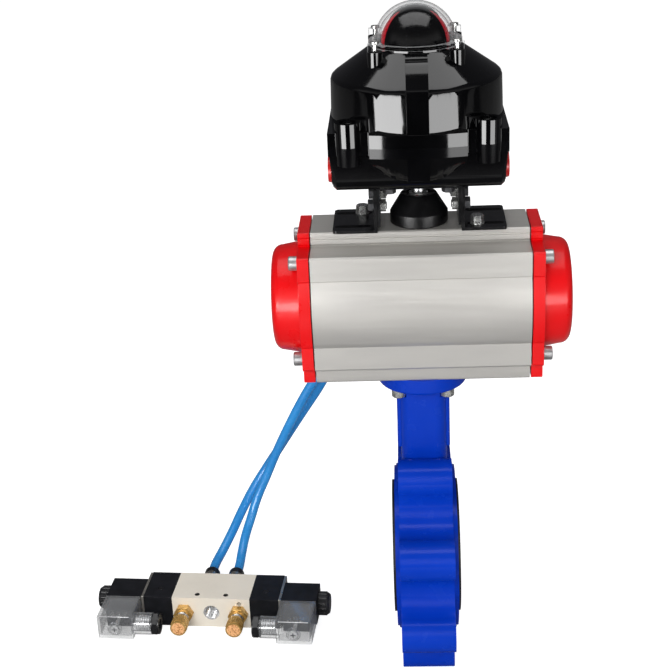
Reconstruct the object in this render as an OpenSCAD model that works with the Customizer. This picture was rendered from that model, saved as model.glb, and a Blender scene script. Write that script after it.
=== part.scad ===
// Automated lug butterfly valve: a double-acting rack-and-pinion pneumatic rotary actuator with its
// limit-switch box, the butterfly valve that it turns, and the 5/2 solenoid valve that feeds it.
// The origin is the centre of the valve's bore on the stem axis. X runs along the pipe, Z up the stem.

/* [Butterfly valve] */
// Valve axis to the actuator's mounting face
mount_h = 153.3; // [150:0.1:160]
// Bore of the rubber seat
bore_d = 80; // [80:0.5:82]
// Face-to-face length over the rubber seat
seat_w = 50; // [48:0.5:52]
// Width of the cast ring between its machined faces
ring_w = 46; // [44:0.5:47]
// Outer diameter of the raised ring faces
ring_face_d = 126; // [122:1:128]
// Pitch circle of the tapped lugs
lug_pcd = 160; // [160:1:160]
// Number of tapped lugs
lug_n = 8; // [8:1:8]
// Outer radius of one lug
lug_r = 14.5; // [13.5:0.5:14.5]
// Length of a lug along the pipe
lug_w = 39.5; // [36:0.5:41]
// Tapping size of the lug threads
lug_hole_d = 14; // [13.8:0.1:14.4]
// Diameter of the one-piece stem
stem_d = 14; // [14:1:14]
// Outer diameter of the mounting flange
top_flange_d = 65; // [64:1:66]
// Thickness of the mounting flange
top_flange_t = 12; // [10:1:13]

/* [Actuator] */
// Height of the extruded body
act_h = 109.5; // [109:0.1:110]
// Length of the extruded body without its end caps
act_l = 151.8; // [151:0.1:153]
// Diameter of the piston bore
cyl_d = 83; // [83:0.1:83]
// Thickness of an end cap's flange
cap_flange_t = 9; // [8:0.5:10]
// How far the round crown of an end cap stands out of its flange
cap_crown_h = 20.2; // [19:0.1:22]
// Diameter of the crown where it leaves the flange
cap_crown_d = 81; // [78:0.5:82]
// Half the width of the top pad
pad_y = 21; // [20:0.5:22]

/* [Rack and pinion] */
// Gear module of the pinion and the racks
gear_m = 2; // [2:1:2]
// Number of pinion teeth
gear_n = 16; // [16:1:16]
// Height of the pinion teeth
pinion_h = 32; // [28:1:34]
// Pressure angle of the teeth
pressure_a = 20; // [20:1:20]

/* [Bracket] */
// Thickness of the bracket plates
plate_t = 2.2; // [2:0.1:2.4]
// Height of the bracket, from the actuator's top to the switch box
bracket_h = 35; // [34:0.5:37]
// Half the width of a bracket foot
foot_y = 24.5; // [23:0.5:26]

/* [Limit switch box] */
// Height of the parting line over the actuator's top
part_line = 68.6; // [68:0.1:69]
// Radius of the round part of the cover
cover_r = 58; // [57:0.5:58.5]
// Radius of the clear dome
dome_r = 28; // [28:0.5:28]
// Wall thickness of the housing
box_wall = 4; // [3.5:0.5:4.5]

/* [Solenoid valve] */
// Length of the centre block
block_l = 64; // [62:1:66]
// Depth of the centre block
block_d = 37.5; // [36:0.5:38]
// Height of the block, the pilot heads and the coils
block_h = 27; // [27:0.5:27]
// Length of one pilot head
pilot_l = 23.7; // [22:0.1:25]
// Length of one coil
coil_l = 29; // [27:0.5:30]
// Where the solenoid valve lies: X, Y and turn about Z
sol_x = -174; // [-175:0.1:-173]
sol_y = 41.9; // [41:0.1:43]
sol_turn = -4.5; // [-5:0.5:-4]

/* [Hidden] */
$fn = 64;
eps = 0.01;

// Heights and places worked out from the driving sizes
ring_pitch_r = lug_pcd / 2;
lug_a0 = 180 / lug_n;
valley_r = 17.6;
valley_pitch_r = 66 + valley_r;
floor_z = -ring_pitch_r * sin(90 - lug_a0) - lug_r;
top_z = mount_h + act_h;
cyl_z = top_z - 54.7;
half_l = act_l / 2;
gear_r = gear_m * gear_n / 2;
tip_r = gear_r + 0.9 * gear_m;
root_r = gear_r - 1.25 * gear_m;
base_r = gear_r * cos(pressure_a);
stroke = gear_r * PI / 2;
box_z = top_z + bracket_h;
split_z = top_z + part_line;
dome_z = top_z + 125.7;
sol_axis_z = block_h / 2;
clear = 0.05;

// ---------- shared shapes ----------

// A cylinder along X, centred on the origin unless told to start there
module along_x(r, h, center = true) {
    rotate([0, 90, 0]) cylinder(r = r, h = h, center = center);
}

// A cylinder along Y that starts on the origin and grows towards +Y
module along_y(r, h) {
    rotate([-90, 0, 0]) cylinder(r = r, h = h);
}

// A tube along Z
module tube(r_out, r_in, h) {
    difference() {
        cylinder(r = r_out, h = h);
        translate([0, 0, -1]) cylinder(r = r_in, h = h + 2);
    }
}

// A hexagonal prism along Z, measured across its flats
module hex_prism(flats, h) {
    cylinder(d = flats / cos(30), h = h, $fn = 6);
}

// A rectangle with round corners
module round_rect(w, d, r) {
    square([w - 2 * r, d], center = true);
    square([w, d - 2 * r], center = true);
    for (sx = [-1, 1], sy = [-1, 1])
        translate([sx * (w / 2 - r), sy * (d / 2 - r)]) circle(r = r);
}

// A block with round vertical edges that stands on the origin
module round_block(w, d, h, r) {
    linear_extrude(h) round_rect(w, d, r);
}

// A socket-head cap screw: head on top of z = 0, shank below it
module cap_screw(d, head_d, head_h, shank) {
    difference() {
        union() {
            translate([0, 0, head_h - 0.6]) cylinder(d1 = head_d, d2 = head_d - 1.2, h = 0.6);
            cylinder(d = head_d, h = head_h - 0.6);
        }
        translate([0, 0, head_h / 2]) hex_prism(head_d / 2, head_h);
    }
    translate([0, 0, -shank]) cylinder(d = d, h = shank + eps);
}

// A hexagon bolt: head on top of z = 0 with its washer, shank below it
module hex_bolt(d, flats, head_h, shank) {
    cylinder(r = flats / 2 + 1, h = 0.8);
    translate([0, 0, 0.8 - eps]) intersection() {
        hex_prism(flats, head_h);
        cylinder(r1 = flats, r2 = flats / 2 + 0.1, h = head_h + eps);
    }
    translate([0, 0, -shank]) cylinder(d = d, h = shank + eps);
}

// Left and right copies of one shape
module both_ends() {
    children();
    mirror([1, 0, 0]) children();
}

// Moves a shape to where the solenoid valve lies on the floor
module on_floor() {
    translate([sol_x, sol_y, floor_z]) rotate([0, 0, sol_turn]) children();
}

// ---------- butterfly valve ----------

module lug_outline() {
    difference() {
        circle(r = ring_pitch_r - 1, $fn = 128);
        for (i = [0 : lug_n - 1])
            if (i != lug_n / 4)
                rotate(i * 2 * lug_a0) translate([valley_pitch_r, 0]) circle(r = valley_r);
    }
    for (i = [0 : lug_n - 1])
        rotate(lug_a0 + i * 2 * lug_a0) translate([ring_pitch_r, 0]) circle(r = lug_r);
}

// The lug outline drawn in the plane across the pipe, as thick as asked
module across_pipe(w) {
    rotate([90, 0, 90]) translate([0, 0, -w / 2]) linear_extrude(w) children();
}

module valve_body() {
    color("royalblue")
    difference() {
        union() {
            across_pipe(lug_w) lug_outline();
            along_x(ring_face_d / 2 - 1.5, ring_w);
            along_x(ring_face_d / 2, ring_w - 3);
            translate([0, 0, 55]) round_block(34, 40, mount_h - 55 - 4, 9);
            for (sx = [-1, 1])
                translate([sx * 17, 0, 92]) round_block(4.6, 27, 44, 2);
            translate([0, 0, mount_h - top_flange_t]) flange_disc();
        }
        along_x(46, ring_w + 2);
        for (sx = [-1, 1])
            translate([sx * (ring_w / 2), 0, 0]) along_x(52, 6);
        for (i = [0 : lug_n - 1])
            rotate([lug_a0 + i * 2 * lug_a0, 0, 0])
                translate([0, ring_pitch_r, 0]) along_x(lug_hole_d / 2, lug_w + 2);
        translate([0, 0, -66]) cylinder(r = 9, h = 30);
        cylinder(r = 8, h = mount_h + 1);
        translate([0, 0, 104]) cylinder(r = 9, h = 60);
        for (a = [45 : 90 : 315])
            rotate(a) translate([25, 0, mount_h - top_flange_t]) {
                translate([0, 0, -1]) cylinder(r = 3.3, h = top_flange_t + 2);
                translate([0, 0, -7]) cylinder(r = 5.6, h = 7);
            }
    }
}

// The mounting flange with a rounded lower rim
module flange_disc() {
    rim = 3;
    rotate_extrude($fn = 96) {
        square([top_flange_d / 2 - rim, top_flange_t]);
        translate([0, rim]) square([top_flange_d / 2, top_flange_t - rim]);
        translate([top_flange_d / 2 - rim, rim]) circle(r = rim);
    }
}

module seat_liner() {
    color("#1b1b1c")
    difference() {
        union() {
            along_x(46, seat_w);
            for (sx = [-1, 1])
                translate([sx * (ring_w / 4 + seat_w / 4 - 0.75), 0, 0]) along_x(50.5, 3.5);
        }
        along_x(bore_d / 2, seat_w + 2);
        translate([0, 0, -60]) cylinder(r = stem_d / 2 + clear, h = 120);
    }
}

module stem_bushes() {
    color("peru") {
        translate([0, 0, 110]) tube(9, stem_d / 2 + clear, 34);
        translate([0, 0, -62]) tube(9, stem_d / 2 + clear, 15);
    }
}

module stem_seals() {
    color("#202020")
    for (z = [105.5, 148])
        translate([0, 0, z]) tube(8.95, stem_d / 2 + clear, 3);
}

module flange_bolts() {
    color("silver")
    for (a = [45 : 90 : 315])
        rotate(a) translate([25, 0, mount_h - top_flange_t]) mirror([0, 0, 1])
            cap_screw(6, 10, 6, top_flange_t + 9);
}

// A lens-shaped disc with round stem hubs, all inside a sphere that clears the seat
module disc() {
    color("#c9ccd0")
    difference() {
        intersection() {
            union() {
                rotate([0, 90, 0]) rotate_extrude($fn = 96)
                    polygon([[0, -7], [20, -6], [40, -2.5], [40, 2.5], [20, 6], [0, 7]]);
                cylinder(r = 10.5, h = bore_d, center = true);
            }
            sphere(r = bore_d / 2 - 0.5, $fn = 128);
        }
        cylinder(r = stem_d / 2, h = bore_d + 2, center = true);
        for (z = [-22, 22]) translate([0, 0, z]) along_x(3, 30);
    }
}

module disc_pins() {
    color("silver")
    for (z = [-22, 22]) translate([0, 0, z]) along_x(3, 20);
}

module stem() {
    color("#b9bcc0")
    difference() {
        union() {
            translate([0, 0, -61]) cylinder(d = stem_d, h = 61 + mount_h - 1);
            translate([0, 0, mount_h - 2]) intersection() {
                translate([-5.5, -5.5, 0]) cube([11, 11, 17]);
                cylinder(d = stem_d, h = 17);
            }
        }
        for (z = [-22, 22]) translate([0, 0, z]) along_x(3, 30);
    }
}

// ---------- actuator ----------

// Points of an arc that bulges to the side, from the height z0 to z1, through the offset y at both ends
function bulge_points(y, z0, z1, rise, n) =
    let (half = (z0 - z1) / 2, r = (half * half + rise * rise) / (2 * rise), a = asin(half / r))
    [for (i = [0 : n]) let (b = a - 2 * a * i / n)
        [y + rise - r + r * cos(b), (z0 + z1) / 2 + r * sin(b)]];

// Right half of the extrusion's outline, from the top pad down, with z = 0 on the top face
side_points = concat(
    [[pad_y - 0.8, 0], [pad_y, -0.8], [pad_y, -3.4], [pad_y - 0.7, -3.9], [pad_y - 0.7, -4.6],
     [pad_y, -5.1], [pad_y, -8.2], [pad_y - 1, -9.4], [pad_y + 1.2, -10.4], [41.8, -10.9],
     [43, -12.1], [43, -28], [42.1, -28.7]],
    bulge_points(42.1, -29.2, -77.4, 4, 16),
    [[40.6, -78.6], [40.2, -95.4], [39.2, -96.6], [30.2, -96.9], [30.2, -97.9], [31, -98.6],
     [31, -108.2], [30, -act_h]]
);

module body_outline() {
    polygon(concat(side_points, [for (i = [len(side_points) - 1 : -1 : 0])
        [-side_points[i][0], side_points[i][1]]]));
}

// Extrudes an outline along the cylinder, from x0 to x1
module along_cylinder(x0, x1) {
    translate([x0, 0, top_z]) rotate([90, 0, 90]) linear_extrude(x1 - x0) children();
}

cap_bolt_y = 31.5;
cap_bolt_z = [top_z - 18, top_z - 90];

module at_cap_bolts() {
    for (sy = [-1, 1], z = cap_bolt_z) translate([0, sy * cap_bolt_y, z]) children();
}

stop_x = 14;
stop_z = cyl_z - 32;
stop_tip = 9;
stop_r = 4;
port_x = 12;
port_face_y = 47.5;

module actuator_body() {
    color("#b9b8b2")
    difference() {
        union() {
            along_cylinder(-half_l, half_l) body_outline();
            translate([-30, 30, cyl_z - 22]) cube([60, port_face_y - 30, 44]);
            for (sx = [-1, 1])
                translate([sx * stop_x, 30, stop_z]) along_y(9, port_face_y - 30);
        }
        translate([0, 0, cyl_z]) along_x(cyl_d / 2, act_l + 2);
        translate([0, 0, mount_h - 1]) cylinder(r = 17, h = cyl_z - mount_h - 20);
        translate([0, 0, cyl_z + 20]) cylinder(r = 15, h = 50);
        for (sx = [-1, 1]) {
            translate([sx * port_x, 35, cyl_z]) along_y(5.9, 20);
            for (sz = [-16, 16])
                translate([sx * port_x, 38, cyl_z + sz]) along_y(2.1, 15);
            translate([sx * 40, 0, top_z - 12]) for (sy = [-15, 15])
                translate([0, sy, 0]) cylinder(r = 2.1, h = 13);
            translate([sx * stop_x, 15, stop_z]) along_y(stop_r, 40);
            translate([sx * (half_l - 20), 0, 0]) at_cap_bolts() along_x(2.5, 42);
        }
        for (a = [45 : 90 : 315])
            rotate(a) translate([25, 0, mount_h - 1]) cylinder(r = 2.5, h = 11);
    }
}

// The end cap on the right: a flange as wide as the body and a hollow crown
module end_cap() {
    edge = 7;
    crown_r = cap_crown_d / 2;
    difference() {
        union() {
            along_cylinder(half_l + 0.8, half_l + cap_flange_t) body_outline();
            translate([half_l, 0, cyl_z]) rotate([0, 90, 0]) rotate_extrude($fn = 96)
                polygon(concat(
                    [[0, 2], [crown_r, 2], [crown_r, cap_flange_t]],
                    [for (i = [0 : 8]) let (a = i * 90 / 8)
                        [crown_r - 2.4 - edge + edge * cos(a),
                         cap_flange_t + cap_crown_h - edge + edge * sin(a)]],
                    [[0, cap_flange_t + cap_crown_h]]));
        }
        translate([half_l, 0, cyl_z]) rotate([0, 90, 0]) rotate_extrude($fn = 96)
            polygon([[0, -1], [36, -1], [35, cap_flange_t + cap_crown_h - 10],
                     [29, cap_flange_t + cap_crown_h - 4.5], [0, cap_flange_t + cap_crown_h - 4.5]]);
        translate([half_l, 0, 0]) at_cap_bolts() along_x(3.2, 30);
    }
}

module end_cap_right() {
    color("#d8161b") end_cap();
}

module end_cap_left() {
    color("#d8161b") mirror([1, 0, 0]) end_cap();
}

module cap_bolts() {
    color("#c4c6c8")
    both_ends() translate([half_l + cap_flange_t, 0, 0]) at_cap_bolts()
        rotate([0, 90, 0]) cap_screw(5, 10, 6.4, 20);
}

module cap_gaskets() {
    color("#222222")
    both_ends() translate([half_l, 0, cyl_z]) rotate([0, 90, 0]) tube(43, 41.6, 0.8);
}

module pinion_bushes() {
    color("ivory") {
        translate([0, 0, mount_h + 0.5]) tube(17, 14 + clear, 8);
        translate([0, 0, top_z - 9]) tube(15, 11 + clear, 9);
    }
}

// Half the angle that a tooth spans at the radius r
function tooth_half(r) =
    let (a = acos(min(1, base_r / r)))
    90 / gear_n - 0.55 + (tan(pressure_a) * 180 / PI - pressure_a) - (tan(a) * 180 / PI - a);

flank_r = [root_r, base_r, base_r + 0.6, gear_r, gear_r + 0.9, tip_r];

// The pinion's outline: each tooth runs up one flank and down the other
module pinion_outline() {
    polygon([for (k = [0 : gear_n - 1], side = [-1, 1], i = [0 : len(flank_r) - 1])
        let (r = flank_r[side < 0 ? i : len(flank_r) - 1 - i],
             a = k * 360 / gear_n + side * tooth_half(max(r, base_r)))
        [r * cos(a), r * sin(a)]]);
}

module pinion() {
    cam_h = 2 * stop_r + 1.2;
    cam_flat = stop_tip - clear;
    color("#8f9296")
    difference() {
        union() {
            translate([0, 0, stop_z - cam_h / 2]) cylinder(r = 16.5, h = cam_h);
            translate([0, 0, mount_h + 0.3]) cylinder(r = 14, h = cyl_z - mount_h - pinion_h / 2);
            translate([0, 0, cyl_z - pinion_h / 2]) linear_extrude(pinion_h) pinion_outline();
            translate([0, 0, cyl_z]) cylinder(r = 11, h = top_z - cyl_z + 1);
            translate([0, 0, top_z]) cylinder(r = 9, h = 20);
        }
        translate([-20, cam_flat, stop_z - cam_h / 2]) cube([40, 20, cam_h]);
        translate([cam_flat, -20, stop_z - cam_h / 2]) cube([20, 40, cam_h]);
        translate([-5.55, -5.55, mount_h - 1]) cube([11.1, 11.1, 17.6]);
        translate([-10, -2, top_z + 16]) cube([20, 4, 5]);
        translate([0, 0, top_z + 8]) cylinder(r = 2.5, h = 20);
        translate([0, 0, top_z + 1.2]) tube(10, 8.2, 1.3);
    }
}

module pinion_circlip() {
    color("silver")
    translate([0, 0, top_z + 1.2]) difference() {
        tube(13.5, 8.2, 1.2);
        translate([0, -2, -1]) cube([20, 4, 4]);
    }
}

// The rack on the -Y side that belongs to the piston on the right, drawn in the pinion's plane
module rack_outline() {
    pitch = PI * gear_m;
    half_gap = pitch / 4 + 0.2;
    slope = tan(pressure_a);
    difference() {
        translate([-32, -30]) square([68, 30 - gear_r + 0.9 * gear_m]);
        for (i = [-5 : 1])
            translate([i * pitch, -gear_r]) polygon([
                [-half_gap - 2.5 * slope, 3], [half_gap + 2.5 * slope, 3],
                [half_gap - 2.5 * slope, -2.4], [-half_gap + 2.5 * slope, -2.4]]);
    }
}

// The piston on the right at rest: closed valve, both pistons together
module piston() {
    head_in = 34;
    head_out = 46;
    difference() {
        union() {
            translate([head_in, 0, cyl_z]) along_x(41.2, head_out - head_in, center = false);
            intersection() {
                translate([0, 0, cyl_z - 12]) linear_extrude(24) rack_outline();
                translate([0, 0, cyl_z]) along_x(39, 90);
            }
        }
        translate([head_in + 2.5, 0, cyl_z]) rotate([0, 90, 0]) tube(43, 39.4, 3);
        translate([head_in + 7.5, 0, cyl_z]) rotate([0, 90, 0]) tube(43, 38.6, 2.5);
        translate([head_in + 5, 0, cyl_z]) along_x(24, head_out, center = false);
        translate([head_in - 4, 6, cyl_z - 15]) cube([6, 26, 30]);
    }
}

module piston_bands() {
    translate([36.5, 0, cyl_z]) rotate([0, 90, 0]) tube(cyl_d / 2 - clear, 39.4, 3);
    translate([41.5, 0, cyl_z]) rotate([0, 90, 0]) tube(cyl_d / 2 - clear, 38.6, 2.5);
}

module piston_right() {
    color("#a3a6aa") piston();
}

module piston_left() {
    color("#a3a6aa") rotate([0, 0, 180]) piston();
}

module piston_bands_right() {
    color("#303030") piston_bands();
}

module piston_bands_left() {
    color("#303030") rotate([0, 0, 180]) piston_bands();
}

// Travel stop bolts with their lock nuts on the back face; their tips meet the pinion's stop cam
module stop_bolts() {
    color("silver")
    both_ends() translate([stop_x, 0, stop_z]) {
        translate([0, stop_tip, 0]) along_y(stop_r, 57);
        translate([0, port_face_y, 0]) rotate([-90, 0, 0]) difference() {
            hex_prism(13, 6.5);
            translate([0, 0, -1]) cylinder(r = 3.9, h = 9);
        }
    }
}

// The cone-shaped position indicator on top of the pinion
module position_puck() {
    color("#17181a")
    translate([0, 0, top_z]) difference() {
        rotate_extrude($fn = 96) polygon([
            [9.05, 4.5], [14.2, 4.5], [14.2, 0.4], [19.6, 0.4], [20.3, 1.1], [20.3, 8.4], [19.8, 9.2],
            [12.6, 21], [11.9, 21.5], [9.05, 21.5]]);
        translate([-30, -2, 18.5]) cube([60, 4, 4]);
    }
}

// ---------- air fittings ----------

// A push-in fitting that screws into a port on the -Y side of the origin
module push_in_body() {
    difference() {
        union() {
            translate([0, -8, 0]) along_y(5.85, 8.5);
            rotate([-90, 0, 0]) hex_prism(13, 6);
            along_y(6.3, 16);
        }
        translate([0, -10, 0]) along_y(3, 40);
        translate([0, 6, 0]) along_y(5.1, 12);
    }
}

module push_in_collar() {
    difference() {
        union() {
            translate([0, 10, 0]) along_y(5, 7);
            translate([0, 16.3, 0]) along_y(6.5, 5.7);
        }
        along_y(4.15, 40);
    }
}

outlet_x = 10.4;

// Puts a shape on the two actuator ports and on the two solenoid outlets
module at_fittings() {
    for (sx = [-1, 1]) {
        translate([sx * port_x, port_face_y, cyl_z]) children();
        on_floor() translate([sx * outlet_x, block_d / 2, sol_axis_z]) children();
    }
}

module push_in_fittings() {
    color("#b9b4ab") at_fittings() push_in_body();
}

module release_collars() {
    color("#111111") at_fittings() push_in_collar();
}

// ---------- bracket ----------

slot_r = 2.8;
leg_x = 28.9;

// The foot on the right: two slots in the foot, a leg standing at its inner edge
module bracket_foot() {
    difference() {
        union() {
            translate([leg_x, 0, 0]) linear_extrude(plate_t) difference() {
                translate([15.6, 0]) round_rect(31.2, 2 * foot_y, 3);
                for (sy = [-15, 15]) translate([4.1 + slot_r, sy]) {
                    circle(r = slot_r);
                    translate([0, -slot_r]) square([20, 2 * slot_r]);
                    translate([20, 0]) circle(r = slot_r);
                }
            }
            translate([leg_x, -foot_y, 0]) cube([plate_t, 2 * foot_y, bracket_h - 4]);
        }
        for (sy = [-15, 15]) translate([leg_x, sy, 17]) along_x(2.7, 12);
    }
}

module bracket_feet() {
    color("#1a1b1d") translate([0, 0, top_z]) {
        bracket_foot();
        rotate([0, 0, 180]) bracket_foot();
    }
}

box_bolt_x = 20;
box_bolt_y = 24;

module bracket_bridge() {
    color("#1a1b1d")
    translate([0, 0, top_z]) difference() {
        union() {
            translate([-leg_x, -31, bracket_h - plate_t]) cube([2 * leg_x, 62, plate_t]);
            for (x = [-leg_x, leg_x - plate_t])
                translate([x, -foot_y + 1, 4]) cube([plate_t, 2 * foot_y - 2, bracket_h - 4]);
        }
        translate([0, 0, bracket_h - 5]) cylinder(r = 14, h = 8);
        for (sx = [-1, 1], sy = [-1, 1])
            translate([sx * box_bolt_x, sy * box_bolt_y, bracket_h - 5]) cylinder(r = 2.6, h = 8);
        for (sy = [-15, 15]) translate([0, sy, 17]) along_x(2.7, 80);
    }
}

module foot_screws() {
    color("#c8cacc")
    translate([0, 0, top_z + plate_t]) {
        translate([-40, 15, 0]) hex_bolt(4.1, 8, 5.4, 10);
        translate([40, -15, 0]) hex_bolt(4.1, 8, 5.4, 10);
    }
}

// Bolts through the legs and hexagon bolts up into the switch box
module bracket_bolts() {
    color("#3a3b3d") {
        both_ends() for (sy = [-15, 15])
            translate([leg_x + plate_t, sy, top_z + 17]) rotate([0, 90, 0]) hex_bolt(5, 8, 3.4, 9);
        for (sx = [-1, 1], sy = [-1, 1])
            translate([sx * box_bolt_x, sy * box_bolt_y, box_z - plate_t]) mirror([0, 0, 1])
                hex_bolt(5, 8, 3.4, plate_t + 3.6);
    }
}

module bracket_nuts() {
    color("#8d8f91")
    both_ends() for (sy = [-15, 15])
        translate([leg_x - plate_t, sy, top_z + 17]) rotate([0, -90, 0]) difference() {
            hex_prism(8, 4);
            translate([0, 0, -1]) cylinder(r = 2.5, h = 6);
        }
}

// ---------- limit switch box ----------

screw_xy = 46;
boss_r = 8.8;
plug_y = -24;
plug_z = box_z + 11.5;

module at_corners(d) {
    for (sx = [-1, 1], sy = [-1, 1]) translate([sx * d, sy * d, 0]) children();
}

// The rim that the two halves share: round, with a flat band front and back and a lobe at each corner
rim_y = 60.4;
rim_band_x = 32;
rim_band_r = 150;
lobe_r = 16;
rim_x = 59.6;

module rim_outline() {
    circle(r = 59, $fn = 128);
    for (turn = [0, 180])
        rotate(turn) intersection() {
            translate([0, rim_band_r - rim_y]) circle(r = rim_band_r, $fn = 256);
            translate([-rim_band_x, -70]) square([2 * rim_band_x, 60]);
        }
    intersection() {
        square([2 * rim_x, 98], center = true);
        at_corners(screw_xy) circle(r = lobe_r);
    }
    square([2 * rim_x, 86], center = true);
}

module corner_bosses(z0, z1, r) {
    at_corners(screw_xy) translate([0, 0, z0]) cylinder(r = r, h = z1 - z0);
}

// Lower block: a long body with round lower edges, slightly narrower at the bottom
module lower_block() {
    hull() {
        for (sy = [-1, 1]) {
            translate([0, sy * 34, 10]) rotate([0, 90, 0])
                cylinder(r = 10, h = 110, center = true, $fn = 32);
            translate([0, sy * 34, 10]) rotate([0, 90, 0])
                cylinder(r = 7.5, h = 115, center = true, $fn = 32);
            translate([0, sy * 42, 27]) cube([2 * rim_x - 1, 6, 1], center = true);
        }
    }
}

entry_x = 58.5;
base_rim_h = 6.6;

module box_base() {
    color("#141517")
    difference() {
        union() {
            translate([0, 0, box_z]) lower_block();
            translate([0, 0, split_z - base_rim_h]) linear_extrude(base_rim_h) rim_outline();
            translate([0, 0, box_z]) rotate_extrude($fn = 128)
                polygon([[0, 1], [36, 1], [47, 9], [54, 19], [57, 27], [57, 28], [0, 28]]);
            at_corners(screw_xy) translate([0, 0, split_z - 13])
                cylinder(r1 = boss_r - 0.8, r2 = boss_r, h = 13);
            translate([-7.3, -60, box_z + 12]) cube([14.6, 30, 16]);
            translate([0, 0, box_z]) cylinder(r = 13, h = 6);
            for (sx = [-1, 1])
                translate([sx * (entry_x - 5), plug_y, plug_z]) along_x(10.5, 10);
        }
        translate([0, 0, box_z + box_wall]) round_block(102, 74, 24, 6);
        translate([0, 0, split_z - 9]) cylinder(r = 53, h = 10);
        cylinder(r = 5 + clear, h = box_z + 40);
        for (sx = [-1, 1], sy = [-1, 1])
            translate([sx * box_bolt_x, sy * box_bolt_y, box_z - 1]) cylinder(r = 2.5, h = 9);
        corner_bosses(split_z - 11, split_z + 1, 2.1);
        for (sx = [-1, 1])
            translate([sx * 55, plug_y, plug_z]) along_x(8, 20);
    }
}

module box_gasket() {
    color("#2a2a2a")
    translate([0, 0, split_z]) difference() {
        tube(56, 53, 1);
    }
}

dome_screw = 27;

cover_top = 126;

module box_cover() {
    color("#141517")
    difference() {
        union() {
            translate([0, 0, split_z]) linear_extrude(9.1) rim_outline();
            translate([0, 0, top_z]) rotate_extrude($fn = 128)
                polygon([[0, 72], [58.5, 72], [58.5, 82], [cover_r, 103.5], [57.3, 105.6], [55.6, 107.3],
                         [32.4, 123.6], [30.6, 124.6], [30.6, cover_top], [0, cover_top]]);
            corner_bosses(split_z, top_z + 84.5, boss_r);
            at_corners(dome_screw) translate([0, 0, top_z + 100]) cylinder(r = 5.2, h = cover_top - 100);
            cover_rib();
        }
        translate([0, 0, top_z]) rotate_extrude($fn = 128)
            polygon([[0, 60], [56.1, 60], [56.1, 69.7], [54, 69.7], [54, 104], [30, 120.4], [0, 120.4]]);
        translate([0, 0, top_z + 124.6]) cylinder(r = 26, h = 3);
        translate([0, 0, top_z + 100]) cylinder(r = 5.5 + clear, h = 30);
        at_corners(screw_xy) {
            translate([0, 0, split_z - 1]) cylinder(r = 2.6, h = 30);
            translate([0, 0, top_z + 77]) cylinder(r = 5.4, h = 12);
        }
        at_corners(dome_screw) translate([0, 0, top_z + 112]) cylinder(r = 1.7, h = 20);
    }
}

// The rib that runs up the front of the cover and over the cone, with a rounded lip near its top
module cover_rib() {
    rib_w = 14.6;
    translate([0, 0, top_z]) rotate([90, 0, 90]) linear_extrude(rib_w, center = true) {
        polygon([[-50, part_line], [-59.8, part_line], [-59.8, 105.5], [-59.2, 108], [-50, 119.6],
                 [-46.5, 122], [-41, 123], [-30, 124.2], [-30, 121.5], [-50, 104]]);
        translate([-41, 122]) circle(r = 2.8);
    }
}

module cover_screws() {
    color("#c8cacc")
    at_corners(screw_xy) translate([0, 0, top_z + 77]) cap_screw(4.1, 8, 4.6, 18);
}

module dome_cover() {
    inner = dome_r - 2.2;
    color("#dfe6ea", 0.35)
    translate([0, 0, dome_z]) difference() {
        union() {
            sphere(r = dome_r, $fn = 96);
            translate([0, 0, 0.3]) cylinder(r = 31.5, h = 2.6);
            at_corners(dome_screw) translate([0, 0, 0.3]) cylinder(r = 4.8, h = 5.2);
            for (a = [45 : 90 : 315])
                rotate(a) translate([28, -4.6, 0.3]) cube([9, 9.2, 2.6]);
        }
        translate([0, 0, -50 + 0.3]) cube([100, 100, 100], center = true);
        sphere(r = inner, $fn = 96);
        at_corners(dome_screw) cylinder(r = 1.8, h = 10);
    }
}

module dome_screws() {
    color("#d4d6d8")
    at_corners(dome_screw) translate([0, 0, dome_z + 5.5]) {
        difference() {
            cylinder(r = 3, h = 1.6);
            translate([0, 0, 0.8]) hex_prism(3, 2);
        }
        translate([0, 0, -13]) cylinder(r = 1.65, h = 13 + eps);
    }
}

// The fixed mask: two black gores that hide the drum in front and behind
module dome_mask() {
    gore = 56;
    mask_r = 25;
    color("#101113")
    translate([0, 0, dome_z]) {
        difference() {
            intersection() {
                sphere(r = mask_r, $fn = 96);
                union() {
                    gore_wedge(gore);
                    rotate([0, 0, 180]) gore_wedge(gore);
                }
            }
            sphere(r = mask_r - 1.3, $fn = 96);
            translate([0, 0, -50 + 0.3]) cube([100, 100, 100], center = true);
        }
        translate([0, 0, -1.1]) tube(25.4, 21, 1.7);
        translate([0, 0, 22]) intersection() {
            cylinder(r = 9.5, h = 3);
            translate([0, 0, -22]) sphere(r = mask_r, $fn = 96);
        }
    }
}

// A wedge of space about Z, centred on the -Y side and reaching the given angle to each side
module gore_wedge(a) {
    reach = 60;
    linear_extrude(40) polygon([[0, 0], [-reach * sin(a), -reach * cos(a)],
        [-reach * sin(a / 2), -reach], [reach * sin(a / 2), -reach], [reach * sin(a), -reach * cos(a)]]);
}

// The two-coloured drum that turns with the shaft under the dome
module indicator_drum() {
    color("#c8202a")
    translate([0, 0, dome_z]) difference() {
        intersection() {
            sphere(r = 23.2, $fn = 96);
            translate([0, 0, 1.2]) cylinder(r = 24, h = 18.5);
        }
        intersection() {
            sphere(r = 21.5, $fn = 96);
            cylinder(r = 24, h = 17.8);
        }
        cylinder(r = 4, h = 30);
    }
}

module switch_shaft() {
    color("#b4b7ba") {
        translate([0, 0, top_z + 21.8]) cylinder(r = 5, h = box_z - top_z + 14);
        translate([-6.5, -1.9, top_z + 18.7]) cube([13, 3.8, 3.2]);
        translate([0, 0, box_z + 35]) cylinder(r = 4, h = dome_z - box_z - 35 + 18.5);
        translate([0, 0, dome_z + 15.4]) cylinder(r = 6, h = 2.4);
    }
}

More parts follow.
